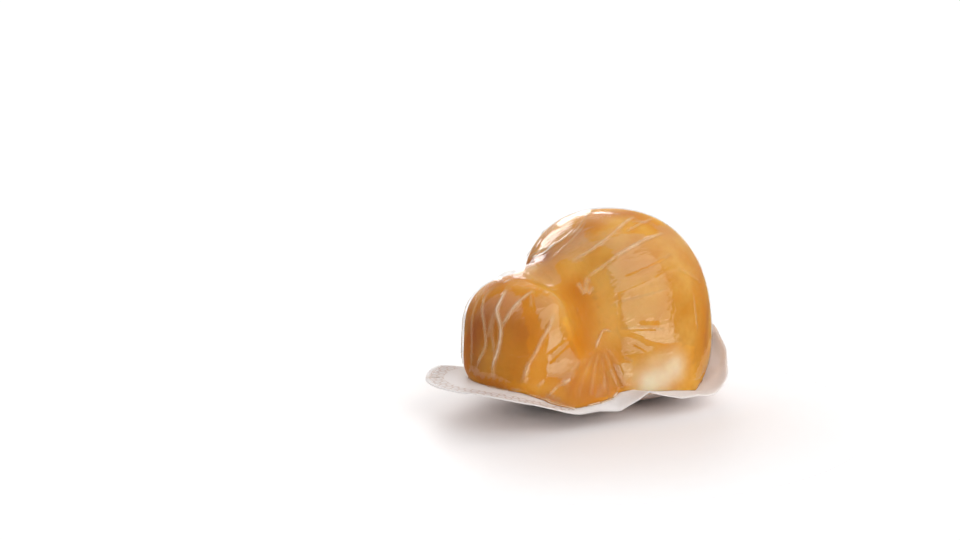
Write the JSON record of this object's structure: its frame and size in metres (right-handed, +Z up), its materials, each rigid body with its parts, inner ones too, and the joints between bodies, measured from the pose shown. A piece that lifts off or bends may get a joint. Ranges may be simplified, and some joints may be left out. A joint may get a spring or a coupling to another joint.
{
  "type": "vacuum-packed smoked scamorza cheese",
  "caption": "Smoked gourd-shaped cheese sealed under tight clear film on a printed white backing film, lying on its backing with a bent, curled rim.",
  "frame": {"origin": "bottom centre of the pack's bounding box, on the table that the pack lies on", "axes": "+Z up out of the table; +X along the pack, from the cheese's small head at -X to its round body at +X"},
  "size_m": [0.1169, 0.0842, 0.0665],
  "materials": {
    "smoked_cheese": "gloss",
    "clear_film": "gloss",
    "backing_film": "satin"
  },
  "bodies": {
    "root": {"film_pocket": "smoked_cheese", "backing_film": "backing_film"}
  },
  "joints": []
}
